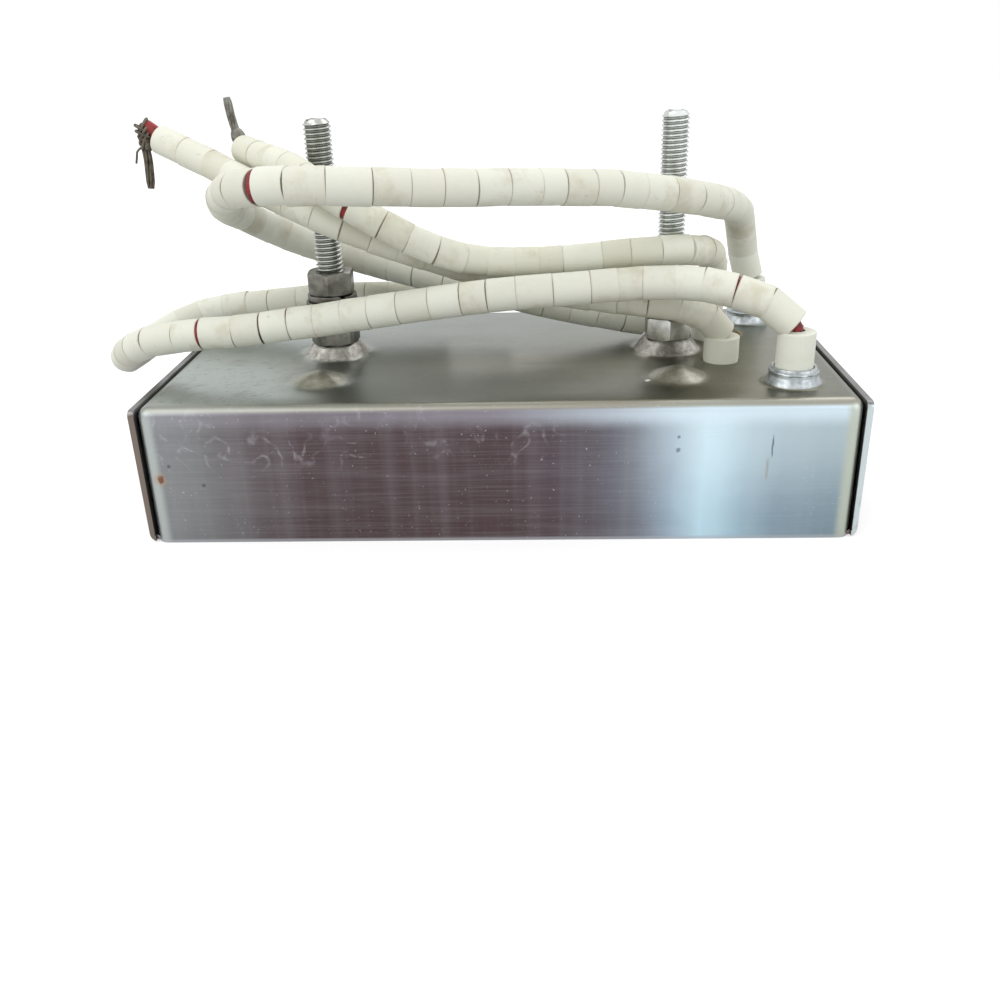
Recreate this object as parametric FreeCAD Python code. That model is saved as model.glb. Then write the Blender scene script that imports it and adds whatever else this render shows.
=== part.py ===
import FreeCAD, Part
import math
import os

# Half-size quartz cassette heater: a folded stainless steel cover, open below, over six quartz
# tubes with heating coils. It hangs on two threaded studs, and four wires threaded through
# ceramic beads leave through its top. Millimetres, +Z up, +X to the right seen from the front.
# The origin is the middle of the cassette on the surface that it stands on.

V = FreeCAD.Vector
UP = V(0, 0, 1)
ALONG = V(1, 0, 0)

# cassette
length = 124.0            # over both end caps
depth = 62.5
height = 25.0
sheet = 0.8               # stainless sheet of cover and end caps
bend_r = 2.0              # outside radius of the cover's bends
corner_r = 2.0            # upright corners of the cover

# end caps, which stand off the cover at the top and fold in under it
cap_gap_top = 0.5
cap_gap_bottom = 0.3
cap_drop = 0.5            # the cap's top edge lies this far below the cover's
cap_fold_r = 1.6
cap_lip = 8.0             # the part folded in, which carries the tubes
cap_setback = 0.25        # at the front and the back
cap_corner_r = 1.2
lip_clear = 0.3           # lip to the cover's front and back walls
lip_rise = 0.5            # and to the lower edge of its end walls

# quartz tubes
tube_count = 6
tube_wall = 1.0
tube_gap = 0.3            # between neighbours
tube_side_clear = 0.9     # outer tubes to the cover's front and back walls
tube_end_clear = 2.4      # tube end to the cover's end wall
coil_clear = 0.6          # coil to the tube's bore, all round
coil_wall = 0.6
fit = 0.1                 # clearance of pieces that lie on or in each other

# ceramic racks that hold the tubes down
rack_w = 6.0
rack_over = 1.0           # rack above the tubes
rack_inset = 0.5          # tube end to rack

# reflector and insulation
reflector_t = 0.5
reflector_drop = 7.5      # its flanges beside the outer tubes
pad_short = 7.5           # the pad ends this far short of the sensor's neck

# studs
stud_x = 31.75
stud_d = 5.0
thread_pitch_d = 4.48     # where the thread and its nuts meet
stud_out = 43.0           # above the cover's top
stud_tip = 0.6
head_af = 8.0
head_h = 3.5
boss_base_r = 6.1
boss_top_r = 4.15
boss_h = 2.5
hole_clear = 0.15

# nuts and washers
nut_af = 8.0
nut_h = 4.2
nut_chamfer = 0.35
washer_d = 10.0
washer_t = 1.0
spring_d = 9.2
spring_t = 1.3
spring_slot = 0.8
spring_slant = 35
upper_left = 9.7          # left washer above the cover's top
thread_clear = 0.05
bare_thread = 1.0         # the stud's full diameter starts this far above its upper nut

# pressed bumps in front of the studs
bump_y = 17.5
bump_r = 5.0
bump_h = 1.9

# wires and beads; each exit is its place on the cover and the top of its bush
power_bead_d = 5.8
probe_bead_d = 5.2
bush_d = 6.4
bush_bore = 2.6
bush_clear = 0.15
bush_below = 2.2          # bush under the cover's top surface
core_straight = 2.0       # its wire goes on straight under it by this
core_rise = 3.2           # and straight up this far above the sensor's neck
core_d = 1.6
collar_h = 3.3
collar_base_r = 4.8
collar_cone_h = 2.4       # its flared foot, under a nearly straight rim
collar_taper = 0.1
ring_w = 0.55             # rim of the collar round the bush
power_exit_inset = 9.9    # from the cover's right end
power_exit_front_inset = 9.85
power_exit_rear_inset = 11.25
probe_exit_inset = 19.9
probe_exit_y = 7.7
power_bush_out = 9.1
probe_bush_out = 4.6
bare_d = 1.8
sleeve_d = 2.6
link_t = 0.4               # strips that join the coils
link_h = 4.0
core_over = 4.2           # power cores above the racks, at their exits
core_sag = 1.6            # and lower by this where they turn down to the coils

# sensor probe between the two middle tubes
probe_d = 2.4
probe_length = 38.0
probe_bend_r = 3.5
probe_neck_inset = 6.5    # its neck from the right rack
probe_neck_out = 3.0      # its neck above the reflector
neck_clear = 1.2          # round it in the reflector

# not sizes of the object
past = 1.0                # how far a cutting shape runs past the piece
tiny = 0.01

# worked out from the sizes above
half_depth = depth / 2
cover_half = length / 2 - sheet - cap_gap_top
inner_half = cover_half - sheet
under_top = height - sheet
tube_pitch = (depth - 2 * sheet - 2 * tube_side_clear + tube_gap) / tube_count
tube_d = tube_pitch - tube_gap
coil_d = tube_d - 2 * tube_wall - 2 * coil_clear
tube_z = sheet + tube_d / 2
tube_half = inner_half - tube_end_clear
tube_top = sheet + tube_d
tube_ys = [(i - (tube_count - 1) / 2) * tube_pitch for i in range(tube_count)]
coil_z = sheet + tube_wall + coil_d / 2 + fit
rack_out = tube_half - rack_inset
rack_in = rack_out - rack_w
rack_top = tube_top + rack_over
reflector_z = rack_top - reflector_t
pad_bottom = rack_top + fit
probe_neck = (rack_in - probe_neck_inset, 0.0)
probe_neck_top = rack_top + probe_neck_out
pad_end = probe_neck[0] - pad_short
power_exit_x = cover_half - power_exit_inset
probe_exit_x = cover_half - probe_exit_inset
power_exit_front = (power_exit_x, -half_depth + power_exit_front_inset)
power_exit_rear = (power_exit_x, half_depth - power_exit_rear_inset)
probe_exit_front = (probe_exit_x, -probe_exit_y)
probe_exit_rear = (probe_exit_x, probe_exit_y)
bush_bottom = height - bush_below
power_top = height + power_bush_out
probe_top = height + probe_bush_out
stud_top = height + stud_out
boss_inner = boss_top_r - sheet
head_seat = height + boss_h - sheet
head_seat -= boss_h * (head_af / math.sqrt(3) + fit - boss_inner) / (boss_base_r - boss_top_r)
pad_top = head_seat - head_h - fit


def from_start(start, steps):
    """Route whose corners are given as steps from its start."""
    x, y, z = start
    return [(x + dx, y + dy, z + dz) for dx, dy, dz in steps]


# routes of the four leads: corners chosen by hand, from the top of the bush to the last bead
power_front_route = from_start((*power_exit_front, power_top), [
    (0, 0, 0), (0, 0, 1.2), (-1.5, 0.3, 3.3), (-4.8, 1.3, 4.9), (-9.9, 2.6, 6.2), (-15.2, 4.2, 7.2),
    (-22.5, 6.1, 7.3), (-33, 6, 6.7), (-45, 5, 6.1), (-57.9, 5.4, 5.1), (-71.3, 6.8, 3.3),
    (-85.1, 7.9, 1.3), (-96.9, 7.5, -0.1), (-107.1, 7.8, -1), (-115.3, 10.4, -3), (-121.4, 16, -6.6),
    (-125.2, 22.6, -10), (-126.5, 29, -11.4), (-123.8, 34.3, -9.5), (-118.7, 37.6, -6.6),
    (-111.6, 39, -4.4), (-101.4, 38.4, -3.3), (-87.4, 37, -1.9), (-73.9, 36.6, -1.4),
    (-62.6, 36.4, -2.3)])
probe_front_route = from_start((*probe_exit_front, probe_top), [
    (0, 0, 0), (0, 0, 1.1), (-2, -0.3, 3.2), (-5.9, -1.1, 5.1), (-9.8, -1.8, 6.5), (-16.2, -1.1, 6.8),
    (-24, 1, 7.4), (-33.3, 3.3, 8.6), (-44, 3.5, 11.8), (-53, 2.2, 14.8), (-61.9, 0, 18.4),
    (-70.9, -0.7, 22.1), (-79.7, 1.3, 26.1), (-89.3, 9.5, 28.8), (-97.2, 14, 31.9),
    (-105.2, 16.9, 35.2)])
power_rear_route = from_start((*power_exit_rear, power_top), [
    (0, 0, 0), (0, 0, 1), (-1.4, 0, 5.2), (-2.8, -2, 10.6), (-4.3, -6, 14.6), (-8.1, -14.6, 17),
    (-14.8, -27.4, 19.8), (-24.2, -33.8, 22.2), (-35.2, -38.6, 23.8), (-49.3, -44, 24.6),
    (-63, -48.4, 25.4), (-74.7, -51.6, 26.5), (-84.3, -52.6, 26.7), (-90.7, -48, 25.8),
    (-96.3, -35.5, 23.1), (-100.4, -22.4, 19.5), (-100.2, -10.6, 16), (-93.4, -6, 11.1),
    (-81, -6.8, 7.2), (-68.6, -10.6, 4.6), (-56.8, -13.2, 2.3), (-43.2, -14, -1), (-31.6, -13.4, -3.7),
    (-24.3, -12, -5.3)])
probe_rear_route = from_start((*probe_exit_rear, probe_top), [
    (0, 0, 0), (0, 0, 6.3), (-0.1, -3.1, 11.6), (-2.4, -9.9, 14.3), (-6.6, -15.7, 15.8),
    (-13.5, -17.1, 15.8), (-22.5, -16.5, 14.9), (-33.2, -16.8, 14.1), (-43.7, -17.7, 14.5),
    (-51.4, -19.7, 17), (-60.4, -21, 21.9), (-68.9, -20.2, 26.9), (-76.3, -15.1, 30.7),
    (-83.9, -4.9, 31.8), (-88.8, 0.7, 33.5)])


def box(x0, x1, y0, y1, z0, z1):
    return Part.makeBox(x1 - x0, y1 - y0, z1 - z0, V(x0, y0, z0))


def rod(x, y, z, radius, run, direction=UP):
    return Part.makeCylinder(radius, run, V(x, y, z), direction)


def spun(points, x, y):
    """Solid of revolution about a vertical line from (radius, height) corners."""
    wire = Part.makePolygon([V(r, 0, z) for r, z in points + points[:1]])
    solid = Part.Face(wire).revolve(V(0, 0, 0), UP, 360)
    solid.translate(V(x, y, 0))
    return solid


def hexagon(x, y, z, across, thick, chamfer=0.0):
    """Hexagonal prism with its corners chamfered at the top, as on a nut or a bolt's head."""
    corner = across / math.sqrt(3)
    ring = [V(x + corner * math.cos(math.radians(a)), y + corner * math.sin(math.radians(a)), z)
            for a in range(30, 391, 60)]
    prism = Part.Face(Part.makePolygon(ring)).extrude(V(0, 0, thick))
    if chamfer:
        trim = [(0, z), (corner - chamfer, z), (corner, z + chamfer), (corner, z + thick - chamfer),
                (corner - chamfer, z + thick), (0, z + thick)]
        prism = prism.common(spun(trim, x, y))
    return prism


def rounded_box(half_x, half_y, top, corner, bend):
    """Tray blank, open below: rounded upright corners and bends along the top."""
    block = box(-half_x, half_x, -half_y, half_y, 0, top)
    upright = [e for e in block.Edges if abs(e.Vertexes[0].Z - e.Vertexes[1].Z) > top / 2]
    block = block.makeFillet(corner, upright)
    rim = [e for e in block.Edges if e.BoundBox.ZMin > top - tiny]
    return block.makeFillet(bend, rim)


def beyond(route, distance):
    """A route's last point, and one straight on from it."""
    last = V(*route[-1])
    onward = last + (last - V(*route[-2])).normalize() * distance
    return [tuple(last), tuple(onward)]


def tube_along(points, diameter, label=""):
    """Round solid along straight runs, mitred where they meet."""
    pts = [V(*p) for p in points]
    line = Part.makePolygon(pts)
    ring = Part.Wire(Part.Circle(pts[0], pts[1] - pts[0], diameter / 2).toShape())
    solid = line.makePipeShell([ring], True, False, 1)
    if label:
        section = math.pi * diameter ** 2 / 4 * line.Length
        print(label, "length", round(line.Length, 1))
        print("    volume over section times length", round(solid.Volume / section, 4))
    return solid


def boss_outline(inset):
    """Raised cone under a stud, as (radius, height) corners, with the sheet's thickness taken off."""
    return [(0, height - bend_r), (boss_base_r - inset, height - bend_r),
            (boss_base_r - inset, height - inset), (boss_top_r - inset, height + boss_h - inset),
            (0, height + boss_h - inset)]


def bump(x, inset):
    """Domed cap of a sphere that rises bump_h over a base circle."""
    ball_r = (bump_r ** 2 + bump_h ** 2) / (2 * bump_h)
    ball = Part.makeSphere(ball_r - inset, V(x, -bump_y, height + bump_h - ball_r))
    return ball.common(rod(x, -bump_y, height - bend_r, bump_r, bend_r + bump_h))


def collar_outline(inset):
    """Flared collar round a power lead's exit, as (radius, height) corners."""
    rim = bush_d / 2 + bush_clear + ring_w
    return [(0, height - bend_r), (collar_base_r - inset, height - bend_r),
            (collar_base_r - inset, height - inset),
            (rim + collar_taper - inset, height + collar_cone_h - inset),
            (rim - inset, height + collar_h - inset), (0, height + collar_h - inset)]


def cover():
    """Folded tray with the raised seats of the studs, the bumps and the collars pressed into it."""
    outer = rounded_box(cover_half, half_depth, height, corner_r, bend_r)
    inner = rounded_box(inner_half, half_depth - sheet, under_top, corner_r - sheet, bend_r - sheet)
    for x in (-stud_x, stud_x):
        outer = outer.fuse(spun(boss_outline(0), x, 0)).fuse(bump(x, 0))
        inner = inner.fuse(spun(boss_outline(sheet), x, 0)).fuse(bump(x, sheet))
    for x, y in (power_exit_front, power_exit_rear):
        outer = outer.fuse(spun(collar_outline(0), x, y))
    shell = outer.cut(inner)
    for x in (-stud_x, stud_x):
        shell = shell.cut(rod(x, 0, under_top, stud_d / 2 + hole_clear, boss_h + 2 * sheet))
    for x, y in (power_exit_front, power_exit_rear, probe_exit_front, probe_exit_rear):
        bore = rod(x, y, under_top - bend_r, bush_d / 2 + bush_clear, collar_h + bend_r + 2 * past)
        shell = shell.cut(bore)
    # the end walls stop above the end caps' lips
    side = half_depth - sheet
    notch = inner_half - corner_r
    for x0, x1 in ((-cover_half - fit, -notch), (notch, cover_half + fit)):
        shell = shell.cut(box(x0, x1, -side, side, -fit, sheet + lip_rise))
    return shell.removeSplitter()


def end_cap(side):
    """Leaning plate with its foot folded in under the tube ends; side is -1 left, 1 right."""
    top = height - cap_drop
    foot = cover_half + cap_gap_bottom + sheet
    head = length / 2
    slope = (head - foot) / (top - cap_fold_r)
    lean = math.atan(slope)
    r_in = cap_fold_r - sheet
    centre = V(foot - cap_fold_r, 0, cap_fold_r)
    lip_end = tube_half + tube_end_clear / 2 - cap_lip

    def on_fold(radius, angle):
        return V(centre.x + radius * math.cos(angle), 0, centre.z + radius * math.sin(angle))

    out_end = on_fold(cap_fold_r, -lean)
    in_end = on_fold(r_in, -lean)
    rise = V(math.sin(lean), 0, math.cos(lean)) * (top - cap_fold_r + sheet)
    down = -math.pi / 2
    halfway = (down - lean) / 2
    out_foot = V(centre.x, 0, 0)
    in_foot = V(centre.x, 0, sheet)
    edges = [Part.LineSegment(V(lip_end, 0, 0), out_foot),
             Part.Arc(out_foot, on_fold(cap_fold_r, halfway), out_end),
             Part.LineSegment(out_end, out_end + rise),
             Part.LineSegment(out_end + rise, in_end + rise),
             Part.LineSegment(in_end + rise, in_end),
             Part.Arc(in_end, on_fold(r_in, halfway), in_foot),
             Part.LineSegment(in_foot, V(lip_end, 0, sheet)),
             Part.LineSegment(V(lip_end, 0, sheet), V(lip_end, 0, 0))]
    face = Part.Face(Part.Wire([e.toShape() for e in edges]))
    wide = half_depth - cap_setback
    face.translate(V(0, -wide, 0))
    plate = face.extrude(V(0, 2 * wide, 0))
    # trimmed level at the top, with rounded upper corners
    outline = box(lip_end - past, head + past, -wide, wide, -past, top)
    corners = [e for e in outline.Edges if e.BoundBox.ZMin > top - tiny and e.BoundBox.YLength < tiny]
    plate = plate.common(outline.makeFillet(cap_corner_r, corners))
    # the lip passes between the cover's front and back walls
    slim = half_depth - sheet - lip_clear
    for y0, y1 in ((-depth, -slim), (slim, depth)):
        plate = plate.cut(box(0, cover_half + fit, y0, y1, -past, 2 * sheet))
    if side < 0:
        plate = plate.mirror(V(0, 0, 0), ALONG)
    return plate


def quartz_tube(y):
    """Open-ended tube that lies along the cassette."""
    outside = rod(-tube_half, y, tube_z, tube_d / 2, 2 * tube_half, ALONG)
    return outside.cut(rod(-tube_half, y, tube_z, tube_d / 2 - tube_wall, 2 * tube_half, ALONG))


def heating_coil(y):
    """Sleeve of the coil's outside diameter, for its close turns, lying on the tube's bore."""
    outside = rod(-tube_half, y, coil_z, coil_d / 2, 2 * tube_half, ALONG)
    return outside.cut(rod(-tube_half, y, coil_z, coil_d / 2 - coil_wall, 2 * tube_half, ALONG))


def tube_rack(side):
    """Ceramic comb that lies over the tube ends with a half-round seat for each tube."""
    wide = half_depth - sheet - 2 * lip_clear
    x0 = rack_in if side > 0 else -rack_out
    block = box(x0, x0 + rack_w, -wide, wide, tube_z + fit, rack_top)
    for y in tube_ys:
        block = block.cut(rod(x0 - past, y, tube_z, tube_d / 2 + fit, rack_w + 2 * past, ALONG))
    return block


def reflector():
    """Folded channel over the tubes, its flanges beside the two outer tubes."""
    end = rack_in - 2 * lip_clear
    wide = half_depth - sheet - lip_clear / 2
    outer = box(-end, end, -wide, wide, rack_top - reflector_drop, rack_top)
    wide -= reflector_t
    tray = outer.cut(box(-end, end, -wide, wide, 0, reflector_z))
    return tray.cut(rod(*probe_neck, 0, probe_d / 2 + neck_clear, height))


def insulation_pad():
    """Fibre board between the reflector and the heads of the studs."""
    wide = half_depth - sheet - 2 * lip_clear
    return box(-tube_half, pad_end, -wide, wide, pad_bottom, pad_top)


def stud(x, nuts_top):
    """Threaded stud, drawn plain: full diameter where it is bare, the thread's pitch diameter in the nuts."""
    full = stud_d / 2
    held = thread_pitch_d / 2
    bare = nuts_top + bare_thread
    shank = spun([(0, head_seat), (held, head_seat), (held, bare), (full, bare),
                  (full, stud_top - stud_tip), (full - stud_tip, stud_top), (0, stud_top)], x, 0)
    return shank.fuse(hexagon(x, 0, head_seat - head_h, head_af, head_h)).removeSplitter()


def nut(x, z):
    """Hexagonal nut, its thread drawn as a bore at the pitch diameter."""
    body = hexagon(x, 0, z, nut_af, nut_h, nut_chamfer)
    return body.cut(rod(x, 0, z - past, thread_pitch_d / 2 + thread_clear, nut_h + 2 * past))


def flat_washer(x, z):
    hole = rod(x, 0, z - past, stud_d / 2 + hole_clear, washer_t + 2 * past)
    return rod(x, 0, z, washer_d / 2, washer_t).cut(hole)


def spring_washer(x, z):
    """Split ring, cut through on the slant at one side."""
    ring = rod(x, 0, z, spring_d / 2, spring_t)
    ring = ring.cut(rod(x, 0, z - past, stud_d / 2 + hole_clear, spring_t + 2 * past))
    slot = box(x, x + spring_d, -spring_slot / 2, spring_slot / 2, z - past, z + spring_t + past)
    slot.rotate(V(x, 0, z + spring_t / 2), ALONG, spring_slant)
    return ring.cut(slot)


def bush(exit_xy, top):
    """Bored ceramic bead that carries a wire out through the cover."""
    tube = rod(*exit_xy, bush_bottom, bush_d / 2, top - bush_bottom)
    return tube.cut(rod(*exit_xy, bush_bottom - past, bush_bore / 2, top - bush_bottom + 2 * past))


def coil_links(side, first):
    """Flat strips that join the coils of neighbouring tubes in series at one end."""
    x0 = tube_half + fit if side > 0 else -tube_half - fit - link_t
    strips = []
    for i in range(first, tube_count - 1, 2):
        strips.append(box(x0, x0 + link_t, tube_ys[i] - link_h / 2, tube_ys[i + 1] + link_h / 2,
                          coil_z - link_h / 2, coil_z + link_h / 2))
    return Part.makeCompound(strips)


def power_core(exit_xy, top, coil_y):
    """Conductor from the bush over the rack and down to the end of the outermost coil."""
    x, y = exit_xy
    end_x = tube_half + 2 * fit + core_d / 2
    over = rack_top + core_over
    return tube_along([(x, y, top), (x, y, over), (end_x, coil_y, over - core_sag),
                       (end_x, coil_y, coil_z - link_h / 2)], core_d)


def probe_core(exit_xy, top):
    """One of the two wires from the sensor's neck up into its bush."""
    x, y = exit_xy
    step = math.copysign(core_d / 2 + fit, y)
    neck_x = probe_neck[0]
    low = probe_neck_top + core_rise
    return tube_along([(x, y, top), (x, y, bush_bottom - core_straight), (neck_x, step, low),
                       (neck_x, step, probe_neck_top + fit)], core_d)


def probe():
    """Sheathed sensor in the valley between the two middle tubes, its neck up through the reflector."""
    seat = (tube_d + probe_d) / 2 + fit
    z = tube_z + math.sqrt(seat ** 2 - (tube_pitch / 2) ** 2)
    x, y = probe_neck
    bend_x = x - probe_bend_r
    bend_z = z + probe_bend_r
    ring = Part.Face(Part.Wire(Part.Circle(V(bend_x, y, z), ALONG, probe_d / 2).toShape()))
    bend = ring.revolve(V(bend_x, y, bend_z), V(0, -1, 0), 90)
    sheath = rod(x - probe_length, y, z, probe_d / 2, probe_length - probe_bend_r, ALONG)
    neck = rod(x, y, bend_z, probe_d / 2, probe_neck_top - bend_z)
    return sheath.fuse(bend).fuse(neck)


# bare ends, each from the face of its lead's last bead
power_front_end = beyond(power_front_route, 4.5)
power_front_end += from_start(power_front_end[0], [(8.6, -1.2, -1.1), (13.6, -2, -0.9)])
power_rear_end = beyond(power_rear_route, 3.0)
power_rear_end += from_start(power_rear_end[0], [(7.5, 3.2, -2.4), (12.9, 5, -2.7), (18.3, 3, -2.7),
                                                 (20.5, -3, -2.7)])
probe_rear_end = beyond(probe_rear_route, 1.4)
probe_rear_end += from_start(probe_rear_end[0], [(-1.5, 1.2, 3.4), (-1.7, 1.1, 6), (-2, 1, 8.7)])
sleeve_route = beyond(probe_front_route, 1.6)
sleeve_route += from_start(sleeve_route[0], [(-2.7, 0.8, 1.6)])
probe_front_end = beyond(sleeve_route, 1.6)
probe_front_end += from_start(probe_front_end[0], [(-2, 0.2, -0.9), (-1, -0.2, -3.8), (-0.2, -0.2, -11)])

os.makedirs("parts", exist_ok=True)

nodes = {
    "cover": cover(),
    "end_cap_left": end_cap(-1),
    "end_cap_right": end_cap(1),
    "reflector": reflector(),
    "insulation_pad": insulation_pad(),
    "tube_rack_left": tube_rack(-1),
    "tube_rack_right": tube_rack(1),
    "coil_links_left": coil_links(-1, 0),
    "coil_links_right": coil_links(1, 1),
    "sensor_probe": probe(),
    "bush_power_front": bush(power_exit_front, power_top),
    "bush_power_rear": bush(power_exit_rear, power_top),
    "bush_probe_front": bush(probe_exit_front, probe_top),
    "bush_probe_rear": bush(probe_exit_rear, probe_top),
    "core_power_front": power_core(power_exit_front, power_top, tube_ys[0]),
    "core_power_rear": power_core(power_exit_rear, power_top, tube_ys[-1]),
    "core_probe_front": probe_core(probe_exit_front, probe_top),
    "core_probe_rear": probe_core(probe_exit_rear, probe_top),
    "lead_power_front": tube_along(power_front_route, power_bead_d, "lead_power_front"),
    "lead_power_rear": tube_along(power_rear_route, power_bead_d, "lead_power_rear"),
    "lead_probe_front": tube_along(probe_front_route, probe_bead_d, "lead_probe_front"),
    "lead_probe_rear": tube_along(probe_rear_route, probe_bead_d, "lead_probe_rear"),
    "bare_end_power_front": tube_along(power_front_end, bare_d),
    "bare_end_power_rear": tube_along(power_rear_end, bare_d),
    "bare_end_probe_front": tube_along(probe_front_end, bare_d),
    "bare_end_probe_rear": tube_along(probe_rear_end, bare_d),
    "sleeve_probe_front": tube_along(sleeve_route, sleeve_d),
}
for number, y in enumerate(tube_ys, 1):
    nodes[f"quartz_tube_{number}"] = quartz_tube(y)
    nodes[f"heating_coil_{number}"] = heating_coil(y)
boss_top = height + boss_h
for side, x in (("left", -stud_x), ("right", stud_x)):
    washer_z = height + upper_left if side == "left" else boss_top + nut_h
    nut_z = washer_z + washer_t + spring_t
    nodes[f"stud_{side}"] = stud(x, nut_z + nut_h)
    nodes[f"lower_nut_{side}"] = nut(x, boss_top)
    nodes[f"flat_washer_{side}"] = flat_washer(x, washer_z)
    nodes[f"spring_washer_{side}"] = spring_washer(x, washer_z + washer_t)
    nodes[f"upper_nut_{side}"] = nut(x, nut_z)

for name, shape in nodes.items():
    shape.exportStep(f"parts/{name}.step")
print(len(nodes), "nodes")
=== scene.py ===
import bpy
import math
import random
from mathutils import Matrix, Vector, noise


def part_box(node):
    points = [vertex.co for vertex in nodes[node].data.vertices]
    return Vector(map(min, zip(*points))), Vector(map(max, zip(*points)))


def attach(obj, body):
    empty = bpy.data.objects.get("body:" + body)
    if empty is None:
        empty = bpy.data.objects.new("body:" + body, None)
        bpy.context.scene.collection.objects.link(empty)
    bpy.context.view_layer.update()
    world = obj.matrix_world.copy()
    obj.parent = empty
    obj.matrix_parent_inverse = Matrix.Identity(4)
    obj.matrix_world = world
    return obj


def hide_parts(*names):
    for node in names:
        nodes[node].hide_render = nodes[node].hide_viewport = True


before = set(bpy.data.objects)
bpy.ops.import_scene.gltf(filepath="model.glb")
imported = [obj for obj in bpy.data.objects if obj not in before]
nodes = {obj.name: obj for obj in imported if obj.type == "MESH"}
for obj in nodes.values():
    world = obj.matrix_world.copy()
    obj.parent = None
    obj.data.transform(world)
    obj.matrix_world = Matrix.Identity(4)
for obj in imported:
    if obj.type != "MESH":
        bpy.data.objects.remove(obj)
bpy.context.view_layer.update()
mm = 0.001
print("frame loaded:", len(nodes), "nodes")


# shader maths, written as expressions

class Value:
    def __init__(self, graph, socket):
        self.graph = graph
        self.socket = socket

    def math(self, operation, *others):
        slots = dict(enumerate((self, *others)))
        return self.graph.node("ShaderNodeMath", {"operation": operation}, slots)

    def __add__(self, other):
        return self.math("ADD", other)

    __radd__ = __add__

    def __sub__(self, other):
        return self.math("SUBTRACT", other)

    def __rsub__(self, other):
        return self.graph.node("ShaderNodeMath", {"operation": "SUBTRACT"}, {0: other, 1: self})

    def __mul__(self, other):
        return self.math("MULTIPLY", other)

    __rmul__ = __mul__

    def __truediv__(self, other):
        return self.math("DIVIDE", other)

    def power(self, other):
        return self.math("POWER", other)

    def distance(self):
        return self.math("ABSOLUTE")

    def clamped(self):
        return self.graph.node("ShaderNodeClamp", {}, {"Value": self})

    def ramp(self, low, high, **settings):
        slots = {"Value": self, "From Min": low, "From Max": high}
        return self.graph.node("ShaderNodeMapRange", settings, slots)

    def between(self, low, high):
        return self.ramp(low, high, interpolation_type="SMOOTHSTEP")


class Graph:
    def __init__(self, tree):
        self.tree = tree

    def node(self, kind, settings, inputs, output=0):
        made = self.tree.nodes.new(kind)
        for key, value in settings.items():
            setattr(made, key, value)
        for key, value in inputs.items():
            if isinstance(value, Value):
                self.tree.links.new(value.socket, made.inputs[key])
            else:
                made.inputs[key].default_value = value
        return Value(self, made.outputs[output])

    def lightRay(self):
        # one for rays that look at the background: straight, in a mirror or through glass
        kinds = ("Is Camera Ray", "Is Glossy Ray", "Is Transmission Ray")
        seen, mirrored, through = (self.node("ShaderNodeLightPath", {}, {}, kind) for kind in kinds)
        return seen.math("MAXIMUM", mirrored).math("MAXIMUM", through)


class Finish(Graph):
    def __init__(self, name):
        self.material = bpy.data.materials.new(name)
        self.material.use_nodes = True
        super().__init__(self.material.node_tree)
        self.shader = self.tree.nodes["Principled BSDF"]
        self.place = self.node("ShaderNodeTexCoord", {}, {}, "Object")
        axes = (self.node("ShaderNodeSeparateXYZ", {}, {0: self.place}, axis) for axis in "XYZ")
        self.x, self.y, self.z = axes

    def noise(self, scale, detail=4, rough=0.55, at=None, stretch=None):
        where = at or self.place
        if stretch:
            where = self.node("ShaderNodeVectorMath", {"operation": "MULTIPLY"}, {0: where, 1: stretch})
        slots = {"Vector": where, "Scale": scale, "Detail": detail, "Roughness": rough}
        return self.node("ShaderNodeTexNoise", {}, slots)

    def steps(self, value, stops):
        # a colour that changes along a value, from (place in mm, colour) stops
        tone = rgb(*stops[0][1])
        for (low, _), (high, colour) in zip(stops, stops[1:]):
            tone = self.mix(value.ramp(low * mm, high * mm), tone, rgb(*colour))
        return tone

    def near(self, first, second, a, b, size):
        # one inside a round spot of this radius, with a soft edge
        away = ((first - a * mm).power(2) + (second - b * mm).power(2)).power(0.5)
        return 1 - away.between(size * 0.5 * mm, size * mm)

    def edge(self, share):
        # painted shade: rounded metal is darkened where it turns away from the view
        return self.node("ShaderNodeLayerWeight", {}, {"Blend": 0.5}, "Facing").power(2.2) * share

    def attribute(self, name):
        return self.node("ShaderNodeAttribute", {"attribute_name": name}, {}, "Fac")

    def mix(self, share, first, second):
        return self.node("ShaderNodeMix", {"data_type": "RGBA"}, {0: share, 6: first, 7: second}, 2)

    def bump(self, height, strength, depth, under=None):
        inputs = {"Height": height, "Strength": strength, "Distance": depth}
        if under:
            inputs["Normal"] = under
        return self.node("ShaderNodeBump", {}, inputs)

    def set(self, **sockets):
        for key, value in sockets.items():
            socket = self.shader.inputs[key.replace("_", " ")]
            if isinstance(value, Value):
                self.tree.links.new(value.socket, socket)
            else:
                socket.default_value = value
        return self.material


def rgb(*colour):
    # a colour as a screen shows it, for the shader's linear sockets
    linear = (((c / 255 + 0.055) / 1.055) ** 2.4 if c > 10 else c / 255 / 12.92 for c in colour)
    return (*linear, 1)


# finishes; the cover's tones follow its length from left to right, as (mm from the middle, colour)

# the front's bright bluish band is a painted reflection; the tones for the top of the front, the bend and the
# corners are painted highlights
coverTones = {
    "front": [(-58, (126, 129, 130)), (-50, (115, 115, 116)), (-42, (96, 89, 91)), (-33, (80, 67, 69)),
              (5, (77, 63, 66)), (16, (92, 87, 94)), (23, (112, 115, 124)), (29, (146, 162, 176)),
              (35, (181, 208, 220)), (38, (173, 199, 211)), (42, (150, 173, 185)), (47, (130, 149, 161)),
              (57, (120, 138, 148))],
    "top": [(-58, (168, 176, 171)), (-42, (170, 178, 173)), (-30, (140, 144, 138)), (-5, (124, 126, 118)),
            (30, (118, 117, 104)), (50, (122, 119, 102)), (59, (108, 111, 99))],
    "creaseHighlight": [(0, (158, 156, 166)), (30, (206, 222, 232))],
    "bend": [(-40, (150, 152, 144)), (20, (157, 154, 141))],
    "corner": [(-50, (172, 179, 176)), (50, (176, 181, 166))],
}

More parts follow.
